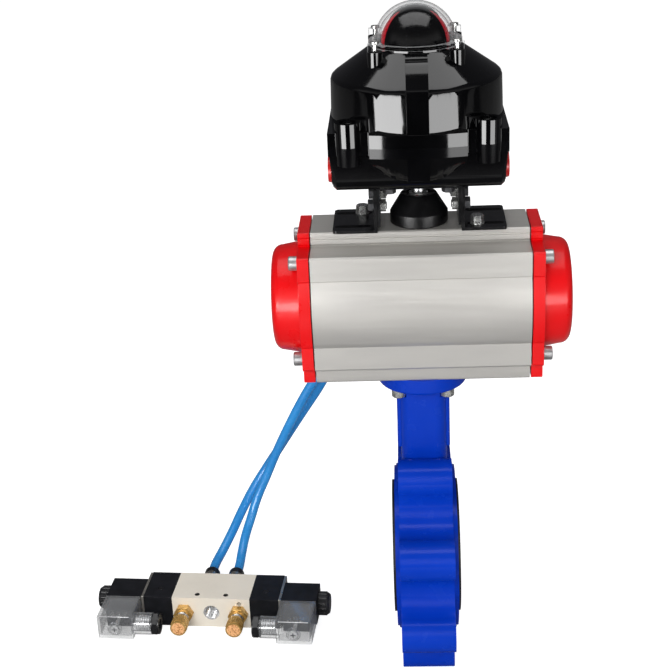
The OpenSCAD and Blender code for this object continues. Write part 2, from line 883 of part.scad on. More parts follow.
module switch_cams() {
    color("gold")
    for (i = [0, 1])
        translate([0, 0, box_z + 37 + i * 9]) rotate([0, 0, i * 90]) difference() {
            union() {
                cylinder(r = 10, h = 6);
                intersection() {
                    cylinder(r = 13, h = 6);
                    translate([0, -3, 0]) cube([20, 6, 6]);
                }
            }
            translate([0, 0, -1]) cylinder(r = 4, h = 8);
        }
}

// Two snap switches that the cams pass without touching
module limit_switches() {
    color("#26282c") {
        for (i = [0, 1])
            translate([0, 22.5, box_z + 40 + i * 9]) cube([28, 15, 7.5], center = true);
        translate([-16, 26, box_z + box_wall]) cube([32, 5, 50]);
    }
}

module terminal_strip() {
    color("#e9e6dc")
    translate([-28, -34, box_z + box_wall]) difference() {
        cube([56, 13, 12]);
        for (i = [0 : 6]) translate([5 + i * 7.6, 6.5, 5]) cylinder(r = 1.9, h = 10);
    }
}

module entry_plugs() {
    color("#d8261f")
    both_ends() translate([entry_x, plug_y, plug_z]) {
        translate([-11, 0, 0]) along_x(7.95, 11 + eps, center = false);
        rotate([0, 90, 0]) difference() {
            cylinder(r1 = 9.1, r2 = 8.5, h = 2.5);
            translate([0, 0, 1]) hex_prism(8, 3);
        }
    }
}

// ---------- solenoid valve ----------

spool_r = 5;
half_block = block_l / 2;
pilot_out = half_block + pilot_l;
coil_in = pilot_out + 2;
coil_out = coil_in + coil_l;
coil_y = -block_d / 2 + 14.5;
coil_z0 = 5;
coil_z = (block_h + coil_z0) / 2;
con_x = coil_in + coil_l / 2;
con_w = 28.6;
con_in = con_x - con_w / 2;
con_d = 31;
con_h = 20;
gland_y = -block_d / 2 - 20;
gland_z = block_h - con_h + 7.9;
neck_l = 14;
gland_l = 6;
throttle_x = 22.5;
port_l = 12;

module solenoid_body() {
    color("#ddd6c5")
    on_floor() difference() {
        translate([-half_block, -block_d / 2, 0]) cube([block_l, block_d, block_h]);
        translate([0, 0, sol_axis_z]) along_x(spool_r + clear, block_l + 2);
        translate([0, -block_d / 2 - 1, sol_axis_z]) along_y(5.9, port_l + 1);
        translate([0, -block_d / 2, sol_axis_z]) along_y(3, block_d / 2);
        translate([0, -block_d / 2 - eps, sol_axis_z]) rotate([-90, 0, 0])
            cylinder(r1 = 6.6, r2 = 5.9, h = 0.8);
        for (sx = [-1, 1]) {
            translate([sx * outlet_x, block_d / 2 - 14, sol_axis_z]) along_y(5.9, 15);
            translate([sx * throttle_x, -block_d / 2 - 1, sol_axis_z]) along_y(4.3, 15);
            translate([sx * 11.8, -block_d / 2 + 5.5, -1]) cylinder(r = 2.1, h = block_h + 2);
        }
        translate([23.4, -block_d / 2 - 1, block_h - 4.6]) along_y(1.9, 12);
    }
}

// The spool at rest: shifted fully to the left
module spool() {
    color("#b8bbbe")
    on_floor() translate([-31.5, 0, sol_axis_z]) {
        for (x = [0, 14.6, 29.2, 43.8, 54.4])
            translate([x, 0, 0]) along_x(spool_r, 4.6, center = false);
        along_x(3, 59, center = false);
    }
}

module pilot_blocks() {
    color("#1c1d1f")
    on_floor() both_ends() difference() {
        translate([half_block, -block_d / 2, 0]) cube([pilot_l, block_d, block_h]);
        translate([half_block - 1, 0, sol_axis_z]) along_x(3.6, 8, center = false);
        translate([pilot_out - 8, coil_y, coil_z]) along_x(4.6, 9, center = false);
        translate([half_block + 12, -6, block_h - 7]) cylinder(r = 2.2, h = 8);
    }
}

// Armature tube with its square fixing plate
module armature_tubes() {
    color("#d0cec6")
    on_floor() both_ends() {
        difference() {
            union() {
                translate([pilot_out, -block_d / 2 + 0.4, 0.4]) cube([2, block_d - 0.8, block_h - 0.6]);
                translate([pilot_out, coil_y, coil_z]) along_x(5.5, coil_l + 8, center = false);
            }
            translate([pilot_out - 1, coil_y, coil_z]) along_x(4.6, coil_l - 2, center = false);
        }
    }
}

module coils() {
    color("#202124")
    on_floor() both_ends() difference() {
        translate([coil_in, -block_d / 2, coil_z0]) cube([coil_l, 27, block_h - coil_z0]);
        translate([coil_in - 1, coil_y, coil_z]) along_x(5.5, coil_l + 2, center = false);
    }
}

module coil_nuts() {
    color("#18191b")
    on_floor() both_ends() translate([coil_out, coil_y, coil_z]) rotate([0, 90, 0]) difference() {
        union() {
            cylinder(r = 9, h = 7.5);
            translate([0, 0, 7.5]) cylinder(r1 = 9, r2 = 7.8, h = 1.8);
            for (a = [0 : 30 : 330])
                rotate(a) translate([8.5, 0, 0]) cylinder(r = 1.2, h = 7);
        }
        translate([0, 0, -1]) cylinder(r = 5.5, h = 7.2);
    }
}

// The armature on the right; it lies back against the pilot seat at rest
module plunger() {
    on_floor() translate([pilot_out - 7.7, coil_y, coil_z]) along_x(4.55, 23.7, center = false);
}

module plunger_right() {
    color("#9fa3a7") plunger();
}

module plunger_left() {
    color("#9fa3a7") on_floor() mirror([1, 0, 0])
        translate([pilot_out - 7.7, coil_y, coil_z]) along_x(4.55, 23.7, center = false);
}

// Clear connector housing on the right coil, with its threaded cable neck pointing inwards
module connector() {
    wall = 1.8;
    difference() {
        union() {
            translate([con_in, -block_d / 2 - con_d, block_h - con_h])
                cube([con_w, con_d, con_h]);
            translate([con_in - neck_l, gland_y, gland_z]) along_x(8.8, neck_l + 1, center = false);
        }
        translate([con_in + wall, -block_d / 2 - con_d + wall, block_h - con_h + wall])
            cube([con_w - 2 * wall, con_d, con_h - 2 * wall]);
        translate([con_in - neck_l - 1, gland_y, gland_z]) along_x(6.4, neck_l + 4, center = false);
        translate([con_x, -block_d / 2 - con_d - 1, block_h - con_h / 2]) along_y(1.7, 5);
    }
}

module connectors() {
    color("#d7dcdf", 0.35) on_floor() both_ends() connector();
}

// Terminal block inside each connector, with the long screw that holds the connector on
module connector_cores() {
    color("#3b3e42")
    on_floor() both_ends() {
        translate([con_x - 10.5, -block_d / 2 - 17, block_h - con_h + 2.5]) cube([21, 17, con_h - 5]);
        translate([con_x, -block_d / 2 - con_d - 2.6, block_h - con_h / 2]) {
            along_y(1.6, con_d - 10);
            along_y(3.4, 2.5);
        }
    }
}

module gland_nuts() {
    color("#17181a")
    on_floor() both_ends()
        translate([con_in - neck_l - gland_l, gland_y, gland_z]) rotate([0, 90, 0])
            difference() {
                union() {
                    cylinder(r = 8.2, h = gland_l);
                    translate([0, 0, 1]) hex_prism(16.4, gland_l - 2);
                }
                translate([0, 0, -1]) cylinder(r = 4.2, h = gland_l + 2);
            }
}

// Exhaust throttles: the fixed hexagon body with its threaded stem
module throttle_bodies() {
    color("#b8862f")
    on_floor() for (sx = [-1, 1])
        translate([sx * throttle_x, -block_d / 2, sol_axis_z]) rotate([90, 0, 0]) {
            translate([0, 0, -8]) cylinder(r = 4.25, h = 8.5);
            hex_prism(14, 6);
            translate([0, 0, 6 - eps]) cylinder(r = 5.2, h = 1.5);
            cylinder(r = 3.6, h = 16);
        }
}

// The knurled drum that turns on the stem to set the exhaust rate
module throttle_drum() {
    n = 24;
    difference() {
        union() {
            cylinder(r = 6.5, h = 11.5);
            for (i = [0 : n - 1])
                rotate(i * 360 / n) translate([6.45, 0, 1.5]) cylinder(r = 0.45, h = 8, $fn = 16);
        }
        translate([0, 0, -1]) cylinder(r = 3.6 + clear, h = 5);
    }
}

module at_throttle(sx) {
    on_floor() translate([sx * throttle_x, -block_d / 2 - 12.8, sol_axis_z]) rotate([90, 0, 0]) children();
}

module throttle_drum_left() {
    color("#c08f37") at_throttle(-1) throttle_drum();
}

module throttle_drum_right() {
    color("#c08f37") at_throttle(1) throttle_drum();
}

module override_button() {
    cylinder(r = 2.1, h = 4.4);
}

module override_left() {
    color("#24262a") on_floor() translate([-half_block - 12, -6, block_h - 4.3]) override_button();
}

module override_right() {
    color("#24262a") on_floor() translate([half_block + 12, -6, block_h - 4.3]) override_button();
}

// ---------- air tubes ----------

tube_r = 4;
tube_sides = 10;

// From the left actuator port to the right outlet of the solenoid valve
route_a = [
    [-12, 64, 208], [-12, 84, 208], [-13, 98, 205], [-16, 110, 197], [-21, 120, 185],
    [-29, 128, 171], [-38, 134, 155], [-49, 139, 138], [-60, 142, 121], [-71, 144, 105],
    [-82, 145, 88], [-93, 146, 71], [-103, 146, 54], [-112, 146, 37], [-121, 146, 19],
    [-129, 145, 2], [-137, 143, -16], [-145, 139, -33], [-151, 132, -49], [-156, 122, -62],
    [-158.5, 109, -71], [-159.4, 96, -75], [-160.8, 76, -75]
];

// From the right actuator port to the left outlet of the solenoid valve
route_b = [
    [12, 64, 208], [12, 86, 208], [11, 101, 206], [8, 116, 200], [1, 130, 189], [-9, 142, 176],
    [-20, 150, 161], [-32, 156, 145], [-44, 160, 127], [-56, 163, 109], [-67, 165, 91],
    [-79, 166, 74], [-90, 166, 56], [-102, 166, 38], [-114, 165, 20], [-126, 163, 2],
    [-138, 159, -15], [-150, 152, -32], [-160, 142, -48], [-168, 129, -61], [-175.5, 114, -71],
    [-180.3, 99, -75], [-181.8, 77, -75]
];

function unit(v) = v / norm(v);

// Direction of a route at its point i
function heading(p, i) =
    unit(p[min(i + 1, len(p) - 1)] - p[max(i - 1, 0)]);

// A ring of points round the route's point i, all rings squared up against the same side vector
function ring_at(p, i) =
    let (t = heading(p, i), u = unit(cross(t, [0.8, -0.55, 0.2])), v = cross(t, u))
    [for (k = [0 : tube_sides - 1]) let (a = k * 360 / tube_sides)
        p[i] + tube_r * (u * cos(a) + v * sin(a))];

// One tube swept along a route
module swept_tube(p) {
    n = tube_sides;
    last = (len(p) - 1) * n;
    polyhedron(
        points = [for (i = [0 : len(p) - 1]) each ring_at(p, i)],
        faces = concat(
            [[for (k = [0 : n - 1]) k]],
            [for (i = [0 : len(p) - 2], k = [0 : n - 1]) let (m = (k + 1) % n)
                each [[i * n + k, (i + 1) * n + k, (i + 1) * n + m],
                      [i * n + k, (i + 1) * n + m, i * n + m]]],
            [[for (k = [n - 1 : -1 : 0]) last + k]]));
}

module air_tube_a() {
    color("#2f8fdc") swept_tube(route_a);
}

module air_tube_b() {
    color("#2f8fdc") swept_tube(route_b);
}

// ---------- what is drawn ----------

valve_body();
seat_liner();
stem_bushes();
stem_seals();
flange_bolts();
disc();
disc_pins();
stem();
actuator_body();
end_cap_left();
end_cap_right();
cap_bolts();
cap_gaskets();
pinion_bushes();
pinion();
pinion_circlip();
piston_left();
piston_right();
piston_bands_left();
piston_bands_right();
stop_bolts();
position_puck();
push_in_fittings();
release_collars();
bracket_feet();
bracket_bridge();
foot_screws();
bracket_bolts();
bracket_nuts();
box_base();
box_cover();
box_gasket();
cover_screws();
dome_cover();
dome_screws();
dome_mask();
indicator_drum();
switch_shaft();
switch_cams();
limit_switches();
terminal_strip();
entry_plugs();
solenoid_body();
spool();
pilot_blocks();
armature_tubes();
coils();
coil_nuts();
plunger_left();
plunger_right();
connectors();
connector_cores();
gland_nuts();
throttle_bodies();
throttle_drum_left();
throttle_drum_right();
override_left();
override_right();
air_tube_a();
air_tube_b();
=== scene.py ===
import math

import bmesh
import bpy
from mathutils import Matrix, Vector


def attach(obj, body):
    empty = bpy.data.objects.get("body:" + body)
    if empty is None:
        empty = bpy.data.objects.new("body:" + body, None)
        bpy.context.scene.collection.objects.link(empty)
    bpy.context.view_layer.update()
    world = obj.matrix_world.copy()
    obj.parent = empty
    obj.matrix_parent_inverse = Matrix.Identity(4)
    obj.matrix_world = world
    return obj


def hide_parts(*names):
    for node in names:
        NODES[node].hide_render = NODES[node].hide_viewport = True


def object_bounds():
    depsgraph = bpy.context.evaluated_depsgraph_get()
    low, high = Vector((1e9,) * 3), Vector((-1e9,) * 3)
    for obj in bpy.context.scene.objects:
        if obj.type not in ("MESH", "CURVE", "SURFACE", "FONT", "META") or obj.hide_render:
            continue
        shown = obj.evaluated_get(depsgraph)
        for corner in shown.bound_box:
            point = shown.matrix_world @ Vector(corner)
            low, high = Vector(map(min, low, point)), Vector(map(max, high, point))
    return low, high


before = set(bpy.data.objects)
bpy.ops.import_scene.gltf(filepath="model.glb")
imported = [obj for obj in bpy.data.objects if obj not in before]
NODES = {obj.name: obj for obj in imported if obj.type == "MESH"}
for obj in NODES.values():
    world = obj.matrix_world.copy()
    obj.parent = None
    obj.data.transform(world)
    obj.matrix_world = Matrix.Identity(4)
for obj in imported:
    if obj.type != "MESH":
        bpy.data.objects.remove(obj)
CAD_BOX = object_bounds()
MM = 0.001
FLOOR_Z = CAD_BOX[0].z
scene = bpy.context.scene


# ---------- camera ----------

CAMERA_AT = (-9.6, -974.0, 585.1)          # millimetres from the bore's centre
CAMERA_TURN = (3.198, 22.631, 2.676)       # degrees: to the left, down, and about its own line of sight
CAMERA_LENS = 78.27


def make_camera():
    """A long lens a metre off, a little above the switch box, turned slightly to the left."""
    yaw, pitch, roll = (math.radians(a) for a in CAMERA_TURN)
    right = Vector((math.cos(yaw), math.sin(yaw), 0))
    level = Vector((-math.sin(yaw), math.cos(yaw), 0))
    ahead = level * math.cos(pitch) - Vector((0, 0, math.sin(pitch)))
    up = right.cross(ahead)
    across = right * math.cos(roll) - up * math.sin(roll)
    over = right * math.sin(roll) + up * math.cos(roll)
    data = bpy.data.cameras.new("camera")
    data.sensor_width = 36
    data.lens = CAMERA_LENS
    data.clip_start = 0.01
    data.clip_end = 200
    cam = bpy.data.objects.new("camera", data)
    scene.collection.objects.link(cam)
    pose = Matrix((across, over, -ahead)).transposed().to_4x4()
    pose.translation = Vector(CAMERA_AT) * MM
    cam.matrix_world = pose
    scene.camera = cam


make_camera()


# ---------- materials ----------

class Paint:
    """A Principled material with noise in the part's own coordinates for colour, roughness and bump."""

    def __init__(self, name, color, rough=0.4, metal=0.0, **sockets):
        self.mat = bpy.data.materials.new(name)
        self.mat.use_nodes = True
        self.tree = self.mat.node_tree
        self.shader = self.tree.nodes["Principled BSDF"]
        self.color = color
        self.shader.inputs["Base Color"].default_value = (*color, 1)
        self.shader.inputs["Roughness"].default_value = rough
        self.shader.inputs["Metallic"].default_value = metal
        for key, value in sockets.items():
            self.shader.inputs[key.replace("_", " ")].default_value = value
        self.coords = self.tree.nodes.new("ShaderNodeTexCoord").outputs["Object"]
        self.height = None

    def node(self, kind, **inputs):
        """Adds a node and sets its inputs by name."""
        n = self.tree.nodes.new(kind)
        for key, value in inputs.items():
            n.inputs[key.replace("_", " ")].default_value = value
        return n

    def link(self, a, b):
        self.tree.links.new(a, b)

    def noise(self, scale, detail=3.0, stretch=None):
        """A noise value, where stretch makes it finer along some axes than along others."""
        n = self.node("ShaderNodeTexNoise", Scale=scale, Detail=detail)
        source = self.coords
        if stretch:
            m = self.node("ShaderNodeMapping")
            m.inputs["Scale"].default_value = stretch
            self.link(source, m.inputs["Vector"])
            source = m.outputs["Vector"]
        self.link(source, n.inputs["Vector"])
        return n.outputs["Fac"]

    def see_through(self, flat, edge, start=0.3):
        """Clear plastic: more open where it faces the viewer than where it curves away."""
        facing = self.node("ShaderNodeLayerWeight", Blend=0.5).outputs["Facing"]
        self.link(self.ramp(facing, start, 0.95, flat, edge), self.shader.inputs["Alpha"])
        return self

    def ramp(self, fac, lo, hi, out_lo=0.0, out_hi=1.0):
        """Maps a value from one range to another and clamps it."""
        m = self.tree.nodes.new("ShaderNodeMapRange")
        m.inputs["From Min"].default_value = lo
        m.inputs["From Max"].default_value = hi
        m.inputs["To Min"].default_value = out_lo
        m.inputs["To Max"].default_value = out_hi
        self.link(fac, m.inputs["Value"])
        return m.outputs["Result"]

    def mottle(self, other, scale, lo=0.35, hi=0.65, detail=3.0, stretch=None):
        """Colour drifts between the base colour and another one."""
        m = self.tree.nodes.new("ShaderNodeMix")
        m.data_type = "RGBA"
        old = self.shader.inputs["Base Color"]
        if old.links:
            self.link(old.links[0].from_socket, m.inputs["A"])
        else:
            m.inputs["A"].default_value = (*self.color, 1)
        m.inputs["B"].default_value = (*other, 1)
        self.link(self.ramp(self.noise(scale, detail, stretch), lo, hi), m.inputs["Factor"])
        self.link(m.outputs["Result"], old)
        return self

    def gloss(self, scale, lo, hi, detail=4.0, stretch=None):
        """Roughness drifts between two values."""
        drift = self.ramp(self.noise(scale, detail, stretch), 0.3, 0.7, lo, hi)
        self.link(drift, self.shader.inputs["Roughness"])
        return self

    def grain(self, scale, depth, detail=2.0, stretch=None):
        """Adds a layer of bump, depth in millimetres."""
        b = self.node("ShaderNodeBump", Strength=1.0, Distance=depth * MM)
        self.link(self.noise(scale, detail, stretch), b.inputs["Height"])
        if self.height:
            self.link(self.height, b.inputs["Normal"])
        self.height = b.outputs["Normal"]
        self.link(self.height, self.shader.inputs["Normal"])
        return self


def make_paints():
    """Every paint: its colour, roughness and share of metal, then its drifts and layers of bump."""
    paints = {}

    def add(name, *looks, **sockets):
        paints[name] = Paint(name, *looks, **sockets)
        return paints[name]

    add("blue_epoxy", (0.001, 0.035, 0.44), 0.24,
        Specular_IOR_Level=0.12, Coat_Weight=0.14, Coat_Roughness=0.06) \
        .mottle((0.0014, 0.043, 0.50), 30, 0.2, 0.8).gloss(60, 0.2, 0.3).grain(28, 0.3, 0) \
        .grain(260, 0.02, 1)
    add("rubber", (0.008, 0.008, 0.009), 0.5).mottle((0.015, 0.015, 0.016), 90).gloss(150, 0.42, 0.6) \
        .grain(900, 0.03)
    add("anodised", (0.53, 0.515, 0.49), 0.38, 0.5).mottle((0.56, 0.545, 0.515), 18, stretch=(1, 4, 4)) \
        .gloss(30, 0.33, 0.43, stretch=(0.6, 20, 20)).grain(60, 0.02, 2, stretch=(0.3, 30, 30)) \
        .grain(1800, 0.02)
    add("red_gloss", (0.76, 0.002, 0.004), 0.3,
        Specular_IOR_Level=0.2, Coat_Weight=0.25, Coat_Roughness=0.16).mottle((0.82, 0.003, 0.006), 30) \
        .gloss(50, 0.26, 0.36).grain(90, 0.10, 2)
    add("bolt_steel", (0.56, 0.565, 0.57), 0.4, 0.85).mottle((0.46, 0.465, 0.47), 300) \
        .gloss(400, 0.32, 0.5).grain(900, 0.02)
    add("zinc", (0.66, 0.665, 0.66), 0.25, 0.9).mottle((0.56, 0.56, 0.54), 220).gloss(350, 0.16, 0.34) \
        .grain(700, 0.015)
    add("dark_zinc", (0.05, 0.052, 0.056), 0.35, 0.6).mottle((0.09, 0.09, 0.095), 220) \
        .gloss(350, 0.28, 0.42).grain(700, 0.015)
    add("bronze", (0.45, 0.24, 0.09), 0.35, 1.0).mottle((0.36, 0.19, 0.07), 120).gloss(200, 0.25, 0.42) \
        .grain(500, 0.02)
    add("disc_steel", (0.56, 0.565, 0.57), 0.25, 0.95).mottle((0.48, 0.485, 0.49), 60) \
        .gloss(90, 0.18, 0.34).grain(200, 0.05)
    add("ground_steel", (0.52, 0.525, 0.53), 0.28, 0.95).mottle((0.44, 0.445, 0.45), 90) \
        .gloss(120, 0.2, 0.36, stretch=(1, 1, 12)).grain(300, 0.01, 2, stretch=(1, 1, 20))
    add("cast_alu", (0.40, 0.402, 0.41), 0.45, 0.9).mottle((0.34, 0.342, 0.35), 80).gloss(120, 0.36, 0.54) \
        .grain(400, 0.05)
    # hole_wall_shade: a near-black metal, painted shade on the walls of the solenoid block's through holes
    add("hole_wall_shade", (0.16, 0.155, 0.15), 0.4, 0.8).mottle((0.11, 0.107, 0.10), 300) \
        .gloss(400, 0.34, 0.5).grain(900, 0.02)
    add("acetal", (0.70, 0.67, 0.57), 0.4).mottle((0.62, 0.59, 0.50), 100).gloss(150, 0.34, 0.48) \
        .grain(500, 0.02)
    add("black_acetal", (0.016, 0.016, 0.017), 0.4).mottle((0.024, 0.024, 0.026), 100) \
        .gloss(150, 0.34, 0.48).grain(500, 0.02)
    add("puck_black", (0.002, 0.002, 0.0023), 0.3, Specular_IOR_Level=0.3) \
        .mottle((0.004, 0.004, 0.0045), 140).gloss(200, 0.27, 0.4).grain(800, 0.02)
    add("white_mark", (0.78, 0.78, 0.77), 0.4).mottle((0.70, 0.70, 0.69), 200).gloss(200, 0.34, 0.46) \
        .grain(800, 0.01)
    add("red_mark", (0.62, 0.01, 0.015), 0.35).mottle((0.5, 0.01, 0.012), 200).gloss(200, 0.28, 0.42) \
        .grain(800, 0.01)
    add("nickel", (0.60, 0.57, 0.52), 0.26, 0.95).mottle((0.50, 0.47, 0.42), 150).gloss(250, 0.18, 0.34) \
        .grain(600, 0.015)
    add("black_plastic", (0.007, 0.007, 0.008), 0.3).mottle((0.012, 0.012, 0.014), 120) \
        .gloss(200, 0.24, 0.36).grain(700, 0.02)
    add("black_coat", (0.003, 0.003, 0.0035), 0.2, Specular_IOR_Level=0.5) \
        .mottle((0.006, 0.006, 0.007), 120).gloss(160, 0.15, 0.27).grain(220, 0.04, 3)
    add("box_gloss", (0.001, 0.001, 0.0013), 0.06).mottle((0.002, 0.002, 0.0024), 40) \
        .gloss(50, 0.045, 0.08).grain(45, 0.02, 1)
    add("base_gloss", (0.0016, 0.0016, 0.002), 0.1, Specular_IOR_Level=0.22) \
        .mottle((0.003, 0.003, 0.0036), 40).gloss(50, 0.08, 0.12).grain(45, 0.02, 1)
    add("mask_gloss", (0.0008, 0.0008, 0.001), 0.16).mottle((0.0016, 0.0016, 0.0019), 60) \
        .gloss(40, 0.14, 0.18).grain(40, 0.002, 0)
    add("port_silver", (0.74, 0.745, 0.75), 0.24, 0.4).mottle((0.62, 0.625, 0.63), 150) \
        .gloss(250, 0.18, 0.3).grain(500, 0.01)
    add("red_drum", (0.62, 0.010, 0.025), 0.3).mottle((0.52, 0.008, 0.02), 100).gloss(120, 0.24, 0.36) \
        .grain(400, 0.01)
    add("yellow_cam", (0.75, 0.5, 0.03), 0.35).mottle((0.65, 0.42, 0.02), 100).gloss(120, 0.3, 0.42) \
        .grain(400, 0.01)
    add("cream", (0.76, 0.73, 0.64), 0.4).mottle((0.68, 0.65, 0.56), 100).gloss(120, 0.34, 0.46) \
        .grain(400, 0.02)
    add("plug_red", (0.60, 0.010, 0.008), 0.3).mottle((0.50, 0.008, 0.007), 90).gloss(120, 0.24, 0.36) \
        .grain(400, 0.02)
    add("champagne", (0.92, 0.86, 0.75), 0.4, 0.1).mottle((0.87, 0.81, 0.70), 40).gloss(80, 0.34, 0.48) \
        .grain(700, 0.03, 3)
    add("pilot_black", (0.008, 0.0085, 0.0105), 0.38, Specular_IOR_Level=0.2) \
        .mottle((0.012, 0.0124, 0.016), 120).gloss(200, 0.32, 0.46).grain(600, 0.04, 3)
    add("plate", (0.62, 0.59, 0.54), 0.33, 0.9).mottle((0.5, 0.48, 0.43), 120).gloss(220, 0.25, 0.42) \
        .grain(500, 0.02)
    add("brass", (0.70, 0.44, 0.14), 0.3, 0.55).mottle((0.55, 0.32, 0.085), 160).gloss(260, 0.2, 0.38) \
        .grain(600, 0.02)
    add("sinter", (0.92, 0.50, 0.22), 0.6, 0.1).mottle((0.46, 0.17, 0.04), 900, 0.5, 0.62, 2) \
        .gloss(900, 0.5, 0.75).grain(1500, 0.25, 2)
    add("tube_blue", (0.032, 0.32, 0.78), 0.25, Coat_Weight=0.2, Coat_Roughness=0.15) \
        .mottle((0.026, 0.28, 0.72), 45).gloss(70, 0.2, 0.32).grain(160, 0.03, 2)
    # core_dark_and_slot_shade: the connector cores' own dark grey, also used as painted shade in the screw
    # slots
    add("core_dark_and_slot_shade", (0.03, 0.032, 0.037), 0.4).mottle((0.05, 0.052, 0.06), 150).gloss(200, 0.34, 0.48) \
        .grain(600, 0.02)
    add("thread_clear", (0.80, 0.81, 0.82), 0.12, 0.4).mottle((0.70, 0.71, 0.72), 90) \
        .gloss(100, 0.08, 0.18).grain(300, 0.02).see_through(0.6, 0.9)
    # edge_highlight_clear: a brighter, nearly opaque copy of the clear plastic, a painted highlight along
    # the connectors' front top edges
    add("edge_highlight_clear", (0.93, 0.94, 0.95), 0.1, 0.2).mottle((0.85, 0.86, 0.87), 60).gloss(60, 0.06, 0.14) \
        .grain(200, 0.01, 1).see_through(0.85, 1.0)
    add("clear_shell", (0.80, 0.81, 0.82), 0.06, 0.4).mottle((0.74, 0.75, 0.76), 30).gloss(40, 0.04, 0.08) \
        .grain(20, 0.001, 0).see_through(0.0, 0.75, 0.44)
    add("clear_connector", (0.48, 0.49, 0.50), 0.07, 0.3).mottle((0.40, 0.41, 0.42), 50) \
        .gloss(80, 0.05, 0.1).grain(120, 0.02, 1).see_through(0.15, 0.8)
    return {name: paint.mat for name, paint in paints.items()}


PAINT = make_paints()


def wear(obj, paint):
    """Takes an object's materials away and gives it this one."""
    obj.data.materials.clear()
    obj.data.materials.append(PAINT[paint])


# ---------- air tubes ----------

TUBE_R = 3.95      # 0.05 mm slimmer than the 8 mm tube, so that its facets stay inside the CAD tube

# The tubes' middle lines in millimetres, from the actuator's rear ports to the solenoid valve.
ROUTE_A = [
    (-12, 64, 208), (-12, 84, 208), (-13, 98, 205), (-16, 110, 197), (-21, 120, 185), (-29, 128, 171),
    (-38, 134, 155), (-49, 139, 138), (-60, 142, 121), (-71, 144, 105), (-82, 145, 88), (-93, 146, 71),
    (-103, 146, 54), (-112, 146, 37), (-121, 146, 19), (-129, 145, 2), (-137, 143, -16), (-145, 139, -33),
    (-151, 132, -49), (-156, 122, -62), (-158.5, 109, -71), (-159.4, 96, -75), (-160.8, 76, -75),
]
ROUTE_B = [
    (12, 64, 208), (12, 86, 208), (11, 101, 206), (8, 116, 200), (1, 130, 189), (-9, 142, 176),
    (-20, 150, 161), (-32, 156, 145), (-44, 160, 127), (-56, 163, 109), (-67, 165, 91), (-79, 166, 74),
    (-90, 166, 56), (-102, 166, 38), (-114, 165, 20), (-126, 163, 2), (-138, 159, -15), (-150, 152, -32),
    (-160, 142, -48), (-168, 129, -61), (-175.5, 114, -71), (-180.3, 99, -75), (-181.8, 77, -75),
]


def air_tube(name, node, route):
    """A round tube that runs smoothly through the route's points."""
    data = bpy.data.curves.new(name, "CURVE")
    data.dimensions = "3D"
    data.bevel_depth = TUBE_R * MM
    data.bevel_resolution = 6
    data.resolution_u = 6
    data.use_fill_caps = True
    line = data.splines.new("BEZIER")
    line.bezier_points.add(len(route) - 1)
    for point, place in zip(line.bezier_points, route):
        point.co = Vector(place) * MM
        point.handle_left_type = point.handle_right_type = "AUTO"
    tube = bpy.data.objects.new(name, data)
    scene.collection.objects.link(tube)
    data.materials.append(PAINT["tube_blue"])
    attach(tube, "unit")
    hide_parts(node)


air_tube("tube_left_port", "air_tube_a", ROUTE_A)
air_tube("tube_right_port", "air_tube_b", ROUTE_B)


# ---------- the CAD nodes ----------

# Each node's paint, and how far its hard edges are rounded, in millimetres.
LOOKS = {
    "valve_body": ("blue_epoxy", 0.7), "seat_liner": ("rubber", 0.4), "stem_bushes": ("bronze", 0),
    "stem_seals": ("rubber", 0), "flange_bolts": ("zinc", 0.2), "disc": ("disc_steel", 0.4),
    "disc_pins": ("ground_steel", 0.2), "stem": ("ground_steel", 0.3), "actuator_body": ("anodised", 0.35),
    "end_cap_left": ("red_gloss", 0.8), "end_cap_right": ("red_gloss", 0.8),
    "cap_bolts": ("bolt_steel", 0.2), "cap_gaskets": ("rubber", 0), "pinion_bushes": ("acetal", 0),
    "pinion": ("ground_steel", 0.2), "pinion_circlip": ("zinc", 0), "piston_left": ("cast_alu", 0.3),
    "piston_right": ("cast_alu", 0.3), "piston_bands_left": ("black_acetal", 0),
    "piston_bands_right": ("black_acetal", 0), "stop_bolts": ("zinc", 0.2),
    "position_puck": ("puck_black", 0.3), "push_in_fittings": ("nickel", 0.2),
    "release_collars": ("black_plastic", 0.3), "bracket_feet": ("black_coat", 0.35),
    "bracket_bridge": ("black_coat", 0.35), "foot_screws": ("zinc", 0.2),
    "bracket_bolts": ("dark_zinc", 0.2), "bracket_nuts": ("zinc", 0.2), "box_base": ("base_gloss", 0.7),
    "box_cover": ("box_gloss", 0.5), "box_gasket": ("rubber", 0), "cover_screws": ("zinc", 0.15),
    "dome_cover": ("clear_shell", 0), "dome_screws": ("zinc", 0.15), "dome_mask": ("mask_gloss", 0),
    "indicator_drum": ("red_drum", 0), "switch_shaft": ("ground_steel", 0.15),
    "switch_cams": ("yellow_cam", 0.2), "limit_switches": ("black_plastic", 0.3),
    "terminal_strip": ("cream", 0.2), "entry_plugs": ("plug_red", 0.2), "solenoid_body": ("champagne", 0.3),
    "spool": ("ground_steel", 0.1), "pilot_blocks": ("pilot_black", 0.4), "armature_tubes": ("plate", 0.2),
    "coils": ("pilot_black", 0.5), "coil_nuts": ("black_plastic", 0.4),
    "plunger_left": ("ground_steel", 0.2), "plunger_right": ("ground_steel", 0.2),
    "connectors": ("clear_connector", 0.5), "connector_cores": ("core_dark_and_slot_shade", 0.3),
    "gland_nuts": ("black_plastic", 0.3), "throttle_bodies": ("brass", 0.3),
    "throttle_drum_left": ("brass", 0.15), "throttle_drum_right": ("brass", 0.15),
    "override_left": ("black_plastic", 0.2), "override_right": ("black_plastic", 0.2),
    "air_tube_a": ("tube_blue", 0), "air_tube_b": ("tube_blue", 0),
}


